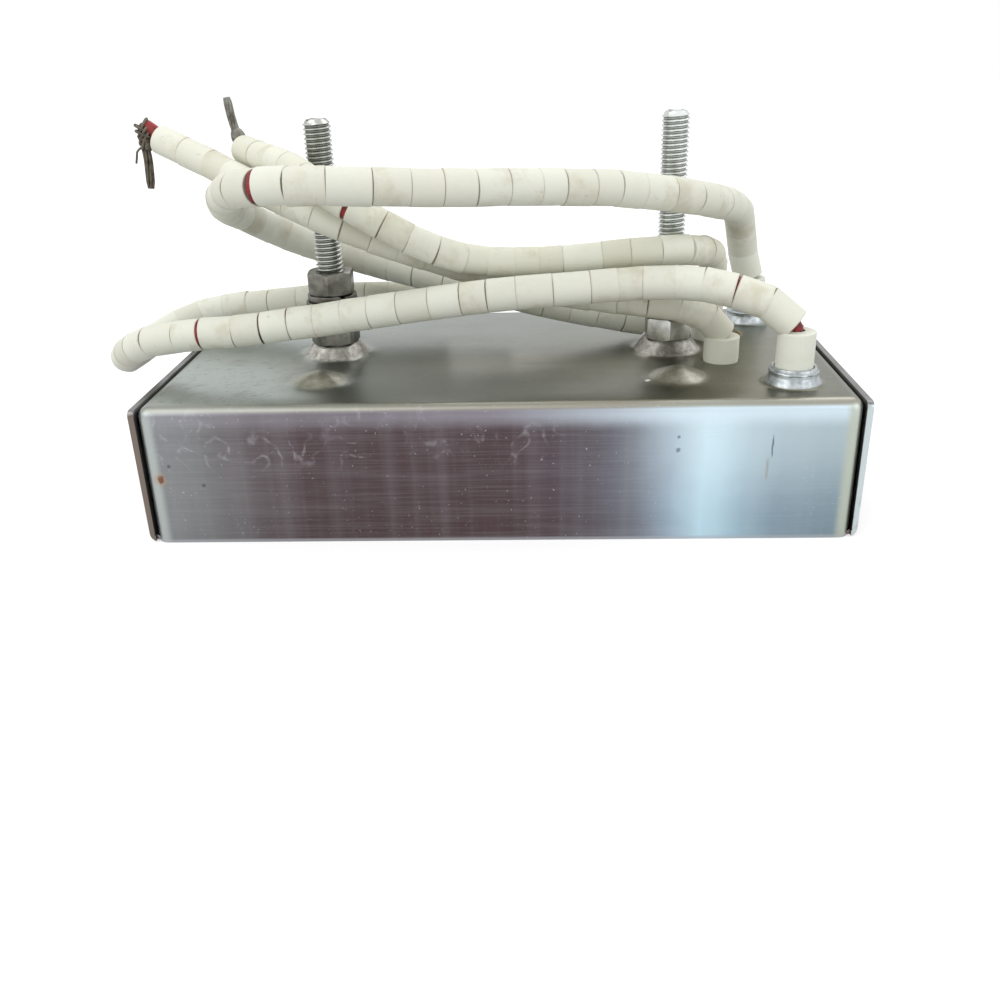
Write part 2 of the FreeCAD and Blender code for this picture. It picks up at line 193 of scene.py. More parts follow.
# marks of their own, placed in mm: a brown scratch and a pale one, dark specks, a splash and a spot of rust
coverMarks = {
    "scratches": [{"x": 46.0, "low": 15.4, "high": 18.8, "wide": 0.2, "share": 0.9, "tone": (62, 50, 42)},
                  {"x": 45.4, "low": 11.2, "high": 14.8, "wide": 0.4, "share": 0.6, "tone": (146, 138, 122)}],
    "specks": [(30.4, 18.9, 0.35), (30.4, 16.6, 0.5), (-50.7, 10.9, 0.45), (-56.2, 14.6, 0.45)],
    "splash": (26.2, -19.8, 0.6),
    "rust": [{"at": (-58.0, 12.1, 1.5), "share": 0.5, "tone": (166, 138, 112)},
             {"at": (-58.0, 12.1, 0.8), "share": 0.8, "tone": (104, 62, 40)}],
}


def coverSteel():
    f = Finish("coverSteel")
    grain = f.noise(1, 2, 0.6, stretch=(70, 3000, 3000))
    streak = f.noise(1, 4, 0.6, stretch=(22, 500, 500))
    cloud = f.noise(70, 4, 0.6)
    patch = f.noise(190, 4, 0.6)
    front = 1 - f.y.between(-0.0304, -0.0293)
    wander = f.x + (cloud - 0.5) * 0.005
    # the front goes from silver over brownish grey to a bright bluish band, which is a painted reflection
    side = f.steps(wander, coverTones["front"])
    middle = (1 - ((f.x + 0.006) / 0.036).distance()).clamped()
    side = f.mix(middle * (1 - f.z.between(0.002, 0.010)) * 0.5, side, rgb(80, 63, 62))
    # faint upright pale streaks: painted highlights
    side = f.mix(f.noise(1, 3, 0.5, stretch=(260, 1, 8)).between(0.4, 0.7) * 0.07, side, rgb(178, 180, 188))
    # painted reflection: a near-white bluish band over the right part of the front
    side = f.mix(f.z.between(0.003, 0.021) * f.x.between(0.018, 0.036) * 0.26, side, rgb(238, 252, 255))
    # the top goes from greenish grey to olive
    top = f.steps(f.x + (cloud - 0.5) * 0.02, coverTones["top"])
    top = f.mix(f.y.between(-0.004, 0.022) * 0.45, top, rgb(128, 137, 131))
    # painted reflection of the beads: a soft warm band across the middle of the top
    beadReflection = (1 - ((f.y + 0.009 + f.x * 0.08) / 0.010).distance()).clamped()
    beadReflection = beadReflection * (1 - ((f.x - 0.006) / 0.032).distance()).clamped()
    top = f.mix(beadReflection * 0.55, top, rgb(160, 156, 138))
    top = f.mix(patch.between(0.5, 0.75) * 0.25, top, rgb(104, 103, 96))
    base = f.mix(front, top, side)
    base = f.mix(grain.between(0.35, 0.75) * 0.06, base, rgb(196, 198, 204))
    base = f.mix(streak.between(0.45, 0.75) * 0.035, base, rgb(200, 202, 208))
    # the bend: painted highlights, a beige line on the bend above a bluish one on the front, and pale painted
    # highlights on the upright corners
    bendHighlight = f.z.between(0.0238, 0.0244) * (1 - f.y.between(-0.0299, -0.0290))
    # painted highlight along the top of the front, below the bend
    creaseHighlight = (f.z + (patch - 0.5) * 0.001).between(0.0200, 0.0234) * (1 - f.z.between(0.0238, 0.0244)) * front
    creaseHighlight = creaseHighlight * (0.35 + f.x.between(-0.045, 0.03) * 0.4)
    base = f.mix(creaseHighlight, base, f.steps(f.x, coverTones["creaseHighlight"]))
    base = f.mix(bendHighlight * 0.9, base, f.steps(f.x, coverTones["bend"]))
    # painted highlight on the rounded upright corners
    corner = f.x.distance().between(0.0573, 0.0588) * (1 - f.z.between(0.0238, 0.0246))
    base = f.mix(corner * 0.8, base, f.steps(f.x, coverTones["corner"]))
    base = f.mix((1 - f.z.between(0.0003, 0.0008)) * 0.6, base, rgb(170, 172, 176))
    # curly pale scuffs along the upper part of the front, and fine ones all over
    curl = 1 - (f.noise(260, 0.4, 0.5) - 0.5).distance().between(0.0, 0.05)
    curl = curl * f.noise(700, 3, 0.6).between(0.35, 0.65)
    worn = f.noise(95, 3, 0.6).between(0.47, 0.60) * f.z.between(0.0125, 0.0165)
    worn = worn * (1 - f.x.between(0.012, 0.028))
    base = f.mix(curl * worn * front * 0.25, base, rgb(196, 194, 204))
    flecks = f.noise(1500, 2, 0.7).between(0.66, 0.72) * patch.between(0.42, 0.55)
    base = f.mix(flecks * 0.4, base, rgb(196, 196, 204))
    # raised places: hammered seats, smoother bumps and bluish collars
    raised = f.z.between(0.02508, 0.0255)
    hammer = f.noise(820, 4, 0.7)
    onSeat = f.y.between(-0.0112, -0.0102)
    seat = f.mix(hammer.between(0.3, 0.7), rgb(142, 140, 133), rgb(200, 198, 191))
    bumpTone = f.mix(hammer.between(0.2, 0.8), rgb(148, 147, 136), rgb(188, 186, 174))
    collar = f.mix(hammer.between(0.3, 0.7), rgb(150, 156, 160), rgb(192, 198, 200))
    seat = f.mix(onSeat, bumpTone, seat)
    base = f.mix(raised, base, f.mix(f.x.between(0.0400, 0.0405), seat, collar))
    # short dark scratches on the top to the left
    slanted = f.noise(1, 2, 0.5, at=f.node("ShaderNodeVectorRotate", {}, {"Vector": f.place, "Angle": -0.5}),
                      stretch=(420, 2600, 1))
    ticks = slanted.between(0.63, 0.67) * (1 - f.x.between(-0.042, -0.035)) * (1 - f.y.between(-0.004, 0.002))
    base = f.mix(ticks * (1 - front) * 0.75, base, rgb(62, 66, 64))
    ragged = (f.noise(900, 3) - 0.5) * 0.0016
    for mark in coverMarks["scratches"]:
        line = 1 - ((f.x + ragged * 0.2 - mark["x"] * mm) / (mark["wide"] * mm)).distance()
        line = line.clamped() * f.z.between((mark["low"] - 0.8) * mm, (mark["low"] + 0.8) * mm)
        line = line * (1 - f.z.between((mark["high"] - 0.8) * mm, (mark["high"] + 0.8) * mm))
        base = f.mix(line * front * mark["share"], base, rgb(*mark["tone"]))
    for spot in coverMarks["specks"]:
        speck = f.near(f.x + ragged * 0.4, f.z + ragged * 0.4, *spot)
        base = f.mix(speck * front * 0.55, base, rgb(60, 60, 60))
    base = f.mix(f.near(f.x, f.y, *coverMarks["splash"]) * (1 - front), base, rgb(240, 240, 240))
    for mark in coverMarks["rust"]:
        rust = f.near(f.x + ragged, f.z + ragged * 1.4, *mark["at"]) * front
        base = f.mix(rust * mark["share"], base, rgb(*mark["tone"]))
    rough = 0.20 + grain * 0.08 + cloud * 0.12 + front * 0.10 + raised * 0.08
    normal = f.bump(grain * 0.5 + streak * 0.15, 0.15, 0.00005, f.bump(cloud, 0.12, 0.0008))
    normal = f.bump(hammer * raised * (0.4 + onSeat * 0.6), 0.35, 0.0004, normal)
    return f.set(Base_Color=base, Metallic=1.0, Roughness=rough, Normal=normal)


def capSteel():
    f = Finish("capSteel")
    grain = f.noise(1, 3, 0.6, stretch=(2600, 60, 2600))
    cloud = f.noise(80, 4, 0.6)
    base = f.mix(cloud.between(0.35, 0.7), rgb(140, 140, 142), rgb(112, 106, 104))
    edge = 1 - f.y.between(-0.0309, -0.0306)
    base = f.mix(edge, base, f.steps(f.x, [(-1, (116, 107, 100)), (1, (186, 196, 198))]))
    stain = f.noise(400, 3, 0.6).between(0.5, 0.65) * (1 - f.z.between(0.004, 0.014))
    base = f.mix(stain * 0.3, base, rgb(140, 100, 76))
    normal = f.bump(grain, 0.3, 0.00005, f.bump(cloud, 0.1, 0.0006))
    return f.set(Base_Color=base, Metallic=1.0, Roughness=0.28 + grain * 0.12, Normal=normal)


def beadCeramic(name, light, shade):
    f = Finish(name)
    tone, rim, grime = (f.attribute(key) for key in ("tone", "rim", "grime"))
    cloud = f.noise(240, 4, 0.6)
    fine = f.noise(2400, 3, 0.6)
    base = f.mix(tone, light, shade)
    base = f.mix(cloud.between(0.45, 0.75) * 0.22, base, rgb(202, 199, 178))
    base = f.mix((cloud + grime * 0.3).between(0.68, 0.95) * 0.42, base, rgb(178, 168, 144))
    base = f.mix(rim * (0.35 + fine * 0.6), base, rgb(136, 118, 96))
    chips = f.noise(800, 2, 0.7).between(0.70, 0.75)
    base = f.mix(chips * 0.35, base, rgb(160, 148, 124))
    normal = f.bump(fine, 0.2, 0.0001, f.bump(cloud, 0.2, 0.0004))
    return f.set(Base_Color=base, Roughness=0.62 + fine * 0.2, Specular_IOR_Level=0.35, Normal=normal)


def redInsulation():
    f = Finish("redInsulation")
    cloud = f.noise(700, 3)
    base = f.mix(cloud.between(0.35, 0.7), rgb(140, 28, 27), rgb(82, 18, 17))
    return f.set(Base_Color=base, Roughness=0.5 + cloud * 0.2, Normal=f.bump(cloud, 0.3, 0.0002))


def strandMetal(name, light, dark, metallic):
    f = Finish(name)
    cloud = f.noise(500, 4, 0.6)
    fine = f.noise(3000, 3, 0.6)
    base = f.mix(cloud.between(0.35, 0.7), light, dark)
    # painted shade where the strands turn away
    base = f.mix(f.edge(0.6), base, rgb(28, 25, 22))
    normal = f.bump(fine, 0.35, 0.0001)
    return f.set(Base_Color=base, Metallic=metallic, Roughness=0.42 + fine * 0.25, Normal=normal)


def plainSteel(name, light, dark, rough, edge=0.4):
    f = Finish(name)
    cloud = f.noise(300, 4, 0.6)
    fine = f.noise(2600, 3, 0.6)
    base = f.mix(cloud.between(0.35, 0.7), light, dark)
    # painted shade where the surface turns away
    base = f.mix(f.edge(edge), base, rgb(34, 34, 34))
    normal = f.bump(fine, 0.25, 0.00006, f.bump(cloud, 0.15, 0.0003))
    return f.set(Base_Color=base, Metallic=1.0, Roughness=rough + fine * 0.18, Normal=normal)


def studSteel():
    # bright crests, partly painted highlight, and roots darkened with painted shade; the left stud is duller
    f = Finish("studSteel")
    cloud = f.noise(300, 4, 0.6)
    middle = f.x.distance() - 0.03175
    reach = (middle.power(2) + f.y.power(2)).power(0.5)
    crest = f.steps(f.x, [(-1, (206, 209, 203)), (1, (236, 240, 238))])
    root = f.steps(f.x, [(-1, (128, 129, 124)), (1, (160, 164, 160))])
    base = f.mix(cloud.between(0.4, 0.7) * 0.3, crest, rgb(140, 136, 126))
    # the cut tip is as bright as the crests
    # painted shade in the thread roots
    below = 1 - f.z.between(0.0671, 0.0674)
    base = f.mix((1 - reach.between(0.00220, 0.00244)) * below, base, root)
    # painted shade where the stud turns away
    base = f.mix(f.edge(0.45), base, rgb(40, 40, 40))
    return f.set(Base_Color=base, Metallic=1.0, Roughness=0.22 + cloud * 0.12)


def quartzGlass():
    f = Finish("quartzGlass")
    haze = f.noise(1, 3, 0.6, stretch=(40, 500, 500))
    f.set(Base_Color=rgb(244, 248, 248), Roughness=0.03 + haze * 0.05)
    return f.set(Transmission_Weight=1.0, IOR=1.45)


def fibreBoard():
    f = Finish("fibreBoard")
    fibre = f.noise(1, 5, 0.7, stretch=(700, 1500, 700))
    base = f.mix(fibre, rgb(226, 223, 210), rgb(198, 192, 174))
    return f.set(Base_Color=base, Roughness=0.9, Normal=f.bump(fibre, 0.6, 0.0003))


def rackCeramic():
    f = Finish("rackCeramic")
    cloud = f.noise(300, 4)
    base = f.mix(cloud, rgb(214, 210, 194), rgb(192, 186, 166))
    return f.set(Base_Color=base, Roughness=0.6 + cloud * 0.2, Normal=f.bump(cloud, 0.2, 0.0003))


finishes = {
    "cover": coverSteel(),
    "cap": capSteel(),
    "powerBeads": beadCeramic("powerBeads", rgb(216, 218, 206), rgb(206, 206, 192)),
    "probeBeads": beadCeramic("probeBeads", rgb(217, 218, 204), rgb(205, 204, 188)),
    "red": redInsulation(),
    "darkWire": strandMetal("darkWire", rgb(114, 106, 94), rgb(60, 54, 46), 0.75),
    "brassWire": strandMetal("brassWire", rgb(170, 160, 134), rgb(116, 107, 88), 0.8),
    "greyWire": strandMetal("greyWire", rgb(150, 150, 142), rgb(98, 94, 86), 0.8),
    "stud": studSteel(),
    "darkNut": plainSteel("darkNut", rgb(148, 148, 141), rgb(106, 103, 97), 0.26),
    "brightNut": plainSteel("brightNut", rgb(214, 215, 210), rgb(166, 165, 159), 0.22),
    "washer": plainSteel("washerSteel", rgb(132, 129, 122), rgb(86, 82, 76), 0.28),
    "quartz": quartzGlass(),
    "coil": plainSteel("coilAlloy", rgb(132, 128, 126), rgb(92, 86, 84), 0.32),
    "fibre": fibreBoard(),
    "rack": rackCeramic(),
    "reflector": plainSteel("reflectorSheet", rgb(226, 226, 224), rgb(206, 206, 204), 0.14),
    "probe": plainSteel("probeSheath", rgb(150, 148, 144), rgb(110, 106, 100), 0.3),
}
print("finishes:", len(finishes))


# mesh helpers

def linked(name, data):
    piece = bpy.data.objects.new(name, data)
    bpy.context.scene.collection.objects.link(piece)
    return piece


def only(piece):
    bpy.ops.object.select_all(action="DESELECT")
    piece.select_set(True)
    bpy.context.view_layer.objects.active = piece
    return piece


def settle(piece, name=None):
    only(piece)
    bpy.ops.object.transform_apply(location=True, rotation=True, scale=True)
    if name:
        piece.name = name
        piece.data.name = name
    return piece


def applied(piece, kind, **settings):
    only(piece)
    modifier = piece.modifiers.new(kind.title(), kind)
    for key, value in settings.items():
        setattr(modifier, key, value)
    bpy.ops.object.modifier_apply(modifier=modifier.name)
    return piece


def carve(piece, tool, operation="DIFFERENCE"):
    applied(piece, "BOOLEAN", operation=operation, object=tool, solver="EXACT")
    bpy.data.objects.remove(tool)
    return piece


def inEditMode(piece, action):
    only(piece)
    bpy.ops.object.mode_set(mode="EDIT")
    bpy.ops.mesh.select_all(action="SELECT")
    action()
    bpy.ops.object.mode_set(mode="OBJECT")
    return piece


def picked(piece, mode, test):
    # selects the edges by their two ends, or the faces by their middle and direction
    only(piece)
    bpy.ops.object.mode_set(mode="EDIT")
    bpy.ops.mesh.select_mode(type=mode)
    bpy.ops.mesh.select_all(action="DESELECT")
    bpy.ops.object.mode_set(mode="OBJECT")
    mesh = piece.data
    if mode == "EDGE":
        for edge in mesh.edges:
            a, b = (mesh.vertices[i].co for i in edge.vertices)
            edge.select = test(a, b)
    else:
        for face in mesh.polygons:
            face.select = test(face.center, face.normal)
    bpy.ops.object.mode_set(mode="EDIT")


def middle(node):
    # the middle of a node's box, seen from above
    low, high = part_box(node)
    return (low.x + high.x) / 2, (low.y + high.y) / 2


def weld(near=0.002 * mm):
    bpy.ops.mesh.remove_doubles(threshold=near)
    bpy.ops.mesh.normals_make_consistent(inside=False)


def spun(name, outline, at, steps, closed=True, angle=2 * math.pi):
    # turns an outline of (radius, height) corners round an upright line
    corners = [Vector((at[0] + r, at[1], at[2] + z)) for r, z in outline]
    edges = [(i, i + 1) for i in range(len(corners) - 1)]
    if closed:
        edges.append((len(corners) - 1, 0))
    mesh = bpy.data.meshes.new(name)
    mesh.from_pydata(corners, edges, [])
    piece = linked(name, mesh)

    def turn():
        bpy.ops.mesh.spin(steps=steps, angle=angle, center=at, axis=(0, 0, 1))
        bpy.ops.mesh.select_all(action="SELECT")
        weld()

    return inEditMode(piece, turn)


def block(x0, x1, y0, y1, z0, z1):
    bpy.ops.mesh.primitive_cube_add(size=1, location=((x0 + x1) / 2, (y0 + y1) / 2, (z0 + z1) / 2))
    piece = bpy.context.object
    piece.scale = (x1 - x0, y1 - y0, z1 - z0)
    return settle(piece)


def cylinder(x, y, z0, z1, radius, sides=48):
    centre = (x, y, (z0 + z1) / 2)
    bpy.ops.mesh.primitive_cylinder_add(vertices=sides, radius=radius, depth=z1 - z0, location=centre)
    return settle(bpy.context.object)


def marked(mesh, **values):
    # one number for each vertex, which the bead finish reads
    for key, numbers in values.items():
        mesh.attributes.new(key, "FLOAT", "POINT").data.foreach_set("value", numbers)


def joined(name, pieces):
    only(pieces[0])
    for piece in pieces:
        piece.select_set(True)
    if len(pieces) > 1:
        bpy.ops.object.join()
    pieces[0].name = name
    pieces[0].data.name = name
    return pieces[0]


def finished(piece, finish, replaced, angle=35):
    only(piece)
    bpy.ops.object.shade_smooth_by_angle(angle=math.radians(angle))
    piece.data.materials.clear()
    piece.data.materials.append(finishes[finish])
    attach(piece, "root")
    if replaced:
        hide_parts(*replaced)
    return piece


def dressed(name, node, finish, bevel):
    # a merged copy of a plain piece, with its edges broken
    piece = linked(name, nodes[node].data.copy())

    def clean():
        bpy.ops.mesh.remove_doubles(threshold=0.001 * mm)
        bpy.ops.mesh.dissolve_limited(angle_limit=math.radians(1))

    inEditMode(piece, clean)
    applied(piece, "BEVEL", width=bevel, segments=2, limit_method="ANGLE", angle_limit=math.radians(40))
    return finished(piece, finish, [node])


# cover: a folded tray with pressed seats, bumps and collars

coverDesign = {
    "top": 25 * mm,
    "sheet": 0.8 * mm,
    "bend": 2.0 * mm,
    "corner": 2.2 * mm,
    "rounds": 8,
    "steps": 64,
    "seat": [(8.6, 0), (7.4, 0.03), (6.5, 0.22), (5.95, 0.62), (4.75, 2.05), (4.35, 2.38), (3.9, 2.5),
             (2.65, 2.5)],
    "bump": [(8.2, 0), (6.6, 0.03), (5.2, 0.22), (4.0, 0.72), (2.9, 1.2), (1.9, 1.55), (1.1, 1.78),
             (0.5, 1.88), (0, 1.9)],
    "collar": [(5.9, 0), (5.3, 0.04), (4.85, 0.22), (4.5, 0.78), (4.2, 1.45), (4.06, 1.88), (4.04, 2.02),
               (4.22, 2.12), (4.25, 2.3), (4.12, 2.47), (3.88, 2.55), (3.82, 2.76), (3.8, 2.9),
               (3.68, 3.02), (3.5, 3.0), (3.35, 2.85), (3.35, 1.5)],
    "plainHole": 3.35,
    "bumpAhead": 17.5 * mm,
    "pit": 1.5 * mm,
    "notch": 1.3 * mm,
    "dents": 0.10 * mm,
    "dentScale": 900,
}


def buildCover():
    d = coverDesign
    low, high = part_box("cover")
    top = d["top"]
    hair = 0.01 * mm
    tray = block(low.x, high.x, low.y, high.y, 0, top)
    picked(tray, "EDGE", lambda a, b: abs(a.z - b.z) > top / 2)
    bpy.ops.mesh.bevel(offset=d["corner"], segments=d["rounds"], affect="EDGES")
    bpy.ops.object.mode_set(mode="OBJECT")
    picked(tray, "EDGE", lambda a, b: min(a.z, b.z) > top - hair)
    bpy.ops.mesh.bevel(offset=d["bend"], segments=d["rounds"], affect="EDGES")
    bpy.ops.object.mode_set(mode="OBJECT")
    inEditMode(tray, lambda: weld(hair))
    studs = [middle(f"stud_{side}") for side in ("left", "right")]
    features = [("seat", x, y) for x, y in studs]
    features += [("bump", x, y - d["bumpAhead"]) for x, y in studs]
    for side in ("front", "rear"):
        features += [("collar", *middle(f"bush_power_{side}")), (None, *middle(f"bush_probe_{side}"))]
    for kind, x, y in features:
        radius = d[kind][0][0] if kind else d["plainHole"]
        carve(tray, cylinder(x, y, top - d["pit"], top + 5 * mm, radius * mm, d["steps"]))
    # the pits and the floor go, which leaves an open sheet with round holes

    def spare(centre, normal):
        inside = abs(centre.x) < high.x - 10 * hair and abs(centre.y) < high.y - 10 * hair
        pitFloor = inside and abs(centre.z - (top - d["pit"])) < hair
        near = any(math.hypot(centre.x - x, centre.y - y) < 9 * mm for _, x, y in features)
        pitWall = inside and near and abs(normal.z) < 0.1 and centre.z > top - d["pit"] - 10 * hair
        return centre.z < hair or pitFloor or pitWall

    picked(tray, "FACE", spare)
    bpy.ops.mesh.delete(type="FACE")
    bpy.ops.object.mode_set(mode="OBJECT")
    pieces = [tray]
    for kind, x, y in features:
        if kind:
            outline = [(r * mm, z * mm) for r, z in d[kind]]
            pieces.append(spun(kind, outline, Vector((x, y, top)), d["steps"], closed=False))
    cover = inEditMode(joined("coverShell", pieces), lambda: weld(hair))
    for vertex in cover.data.vertices:
        lift = vertex.co.z - top
        if lift > 0.1 * mm:
            vertex.co.z += d["dents"] * noise.noise(vertex.co * d["dentScale"]) * min(1, lift / mm)
    applied(cover, "SOLIDIFY", thickness=d["sheet"], offset=-1)
    side = high.y - d["sheet"]
    inner = high.x - d["sheet"] - d["corner"]
    for x0, x1 in ((low.x - mm, -inner), (inner, high.x + mm)):
        carve(cover, block(x0, x1, -side, side, -mm, d["notch"]))
    return finished(cover, "cover", ["cover"], 50)


buildCover()
print("cover made")


# end plates and racks: merged copies of the solids, and the plates are a little thicker

plateDesign = {"foot": 1.55 * mm, "outer": 61.4 * mm, "nearer": 0.12 * mm, "lean": 0.006,
               "plateEdge": 0.12 * mm, "rackEdge": 0.15 * mm}


def thickened(plate):
    # the upright part's inner face comes nearer to the cover
    d = plateDesign
    for vertex in plate.data.vertices:
        x, z = vertex.co.x, vertex.co.z
        if z > d["foot"] and abs(x) < d["outer"]:
            vertex.co.x -= math.copysign(d["nearer"] + d["lean"] * z, x)


for side in ("left", "right"):
    title = side.title()
    thickened(dressed(f"endPlate{title}", f"end_cap_{side}", "cap", plateDesign["plateEdge"]))
    dressed(f"tubeRack{title}", f"tube_rack_{side}", "rack", plateDesign["rackEdge"])
print("end plates and racks made")


# studs, nuts and washers

studDesign = {
    "radius": 2.5 * mm,
    "start": 26.6 * mm,
    "pitch": 0.8 * mm,
    "crest": 0.14 * mm,
    "flank": 0.24 * mm,
    "depth": 0.34 * mm,
    "steps": 40,
    "tip": 0.65 * mm,
    "topCut": 0.007 * mm,
    "footCut": 0.507 * mm,
    "headFlat": 8.0 * mm,
    "headHigh": 3.5 * mm,
}


def buildStud(side):
    d = studDesign
    low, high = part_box(f"stud_{side}")
    x, y = middle(f"stud_{side}")
    radius, start = d["radius"], d["start"]
    turns = int((high.z - start) / d["pitch"]) + 3
    root = radius - d["depth"]
    outline = [(radius, 0), (radius, d["crest"]), (root, d["crest"] + d["flank"]),
               (root, d["pitch"] - d["flank"]), (radius, d["pitch"])]
    mesh = bpy.data.meshes.new("thread")
    mesh.from_pydata([(r, 0, z) for r, z in outline], [(i, i + 1) for i in range(len(outline) - 1)], [])
    thread = linked("thread", mesh)
    applied(thread, "SCREW", angle=2 * math.pi, screw_offset=d["pitch"], iterations=turns, steps=d["steps"],
            render_steps=d["steps"], use_merge_vertices=True, merge_threshold=0.002 * mm)
    thread.location = (x, y, start - d["pitch"])
    settle(thread)

    def cut(z, **sides):
        bpy.ops.mesh.select_all(action="SELECT")
        bpy.ops.mesh.bisect(plane_co=(x, y, z), plane_no=(0, 0, 1), **sides)

    def trim():
        weld()
        cut(high.z - d["topCut"], use_fill=True, clear_outer=True)
        cut(start + d["footCut"], use_fill=True, clear_inner=True)
        cut(high.z - d["tip"])

    inEditMode(thread, trim)
    # the thread narrows to the tip
    narrow = radius - d["tip"] * 1.1
    for vertex in thread.data.vertices:
        flat = Vector((vertex.co.x - x, vertex.co.y - y))
        most = narrow + (high.z - vertex.co.z)
        if flat.length > most:
            flat *= most / flat.length
            vertex.co.x = x + flat.x
            vertex.co.y = y + flat.y
    head = cylinder(x, y, low.z, low.z + d["headHigh"], d["headFlat"] / math.sqrt(3), 6)
    applied(head, "BEVEL", width=0.3 * mm, segments=2)
    shank = cylinder(x, y, low.z + d["headHigh"], start + 0.6 * mm, root + 0.1 * mm, 32)
    core = cylinder(x, y, start, high.z - d["topCut"], narrow, 40)
    stud = joined(f"stud{side.title()}", [thread, head, shank, core])
    return finished(stud, "stud", [f"stud_{side}"], 30)


nutDesign = {
    "flat": 8.0 * mm,
    "chamfer": 0.55 * mm,
    "slope": 0.58,
    "bulge": 0.01 * mm,
    "bore": 2.3 * mm,
    "sink": 0.45 * mm,
    "edge": 0.10 * mm,
    "turned": {"upper_nut_left": 3, "lower_nut_left": -14, "upper_nut_right": 12, "lower_nut_right": 0},
    "finish": {"left": "darkNut", "right": "brightNut"},
}


def buildNut(level, side):
    d = nutDesign
    node = f"{level}_nut_{side}"
    low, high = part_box(node)
    tall = high.z - low.z
    corner = d["flat"] / math.sqrt(3)
    nut = cylinder(0, 0, low.z, high.z, corner, 6)
    slant = d["chamfer"] * d["slope"]
    barrel = [(0, 0), (corner - d["chamfer"], 0), (corner, slant), (corner + d["bulge"], tall / 2),
              (corner, tall - slant), (corner - d["chamfer"], tall), (0, tall)]
    carve(nut, spun("barrel", barrel, Vector((0, 0, low.z)), 72, closed=False), "INTERSECT")
    wide = d["bore"] + d["sink"] + mm
    bore = [(0, -mm), (wide, -mm), (d["bore"], d["sink"]), (d["bore"], tall - d["sink"]),
            (wide, tall + mm), (0, tall + mm)]
    carve(nut, spun("bore", bore, Vector((0, 0, low.z)), 48, closed=False))
    applied(nut, "BEVEL", width=d["edge"], segments=2, limit_method="ANGLE", angle_limit=math.radians(25))
    nut.rotation_euler.z = math.radians(d["turned"][node])
    nut.location = (*middle(node), 0)
    settle(nut, node.replace("_", "."))
    return finished(nut, d["finish"][side], [node], 25)


def roundedRing(inner, outer, tall, soft):
    return [(inner, soft), (inner + soft * 0.3, soft * 0.3), (inner + soft, 0), (outer - soft, 0),
            (outer - soft * 0.3, soft * 0.3), (outer, soft), (outer, tall - soft),
            (outer - soft * 0.3, tall - soft * 0.3), (outer - soft, tall), (inner + soft, tall),
            (inner + soft * 0.3, tall - soft * 0.3), (inner, tall - soft)]


washerDesign = {
    "flat": {"inner": 2.65 * mm, "outer": 5.0 * mm, "soft": 0.22 * mm},
    "spring": {"inner": 2.7 * mm, "outer": 4.6 * mm, "soft": 0.16 * mm, "thick": 0.86, "lift": 0.14,
               "gap": math.radians(12), "turned": math.radians(-60)},
}


def buildFlatWasher(side):
    d = washerDesign["flat"]
    node = f"flat_washer_{side}"
    low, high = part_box(node)
    outline = roundedRing(d["inner"], d["outer"], high.z - low.z, d["soft"])
    ring = spun(f"flatWasher{side.title()}", outline, Vector((*middle(node), low.z)), 64)
    return finished(ring, "washer", [node])


def buildSpringWasher(side):
    d = washerDesign["spring"]
    node = f"spring_washer_{side}"
    low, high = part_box(node)
    centre = Vector((*middle(node), low.z))
    tall = high.z - low.z
    outline = roundedRing(d["inner"], d["outer"], tall * d["thick"], d["soft"])
    ring = spun(f"springWasher{side.title()}", outline, centre, 60, angle=2 * math.pi - d["gap"])

    def close():
        bpy.ops.mesh.select_all(action="DESELECT")
        bpy.ops.mesh.select_mode(type="EDGE")
        bpy.ops.mesh.select_non_manifold()
        bpy.ops.mesh.edge_face_add()
        bpy.ops.mesh.select_all(action="SELECT")
        bpy.ops.mesh.normals_make_consistent(inside=False)

    inEditMode(ring, close)
    # one end stands a little higher than the other, and the split looks forward
    for vertex in ring.data.vertices:
        flat = vertex.co - centre
        share = (math.atan2(flat.y, flat.x) % (2 * math.pi)) / (2 * math.pi)
        vertex.co.z += tall * d["lift"] * share
    turn = Matrix.Rotation(d["turned"], 4, "Z")
    ring.data.transform(Matrix.Translation(centre) @ turn @ Matrix.Translation(-centre))
    return finished(ring, "washer", [node])


for side in ("left", "right"):
    buildStud(side)
    buildNut("lower", side)
    buildNut("upper", side)
    buildFlatWasher(side)
    buildSpringWasher(side)
print("studs, nuts and washers made")


# beaded leads, in mm: each route runs from the top of its bush to the last bead, and each open joint
# is named by the number of the bead before it

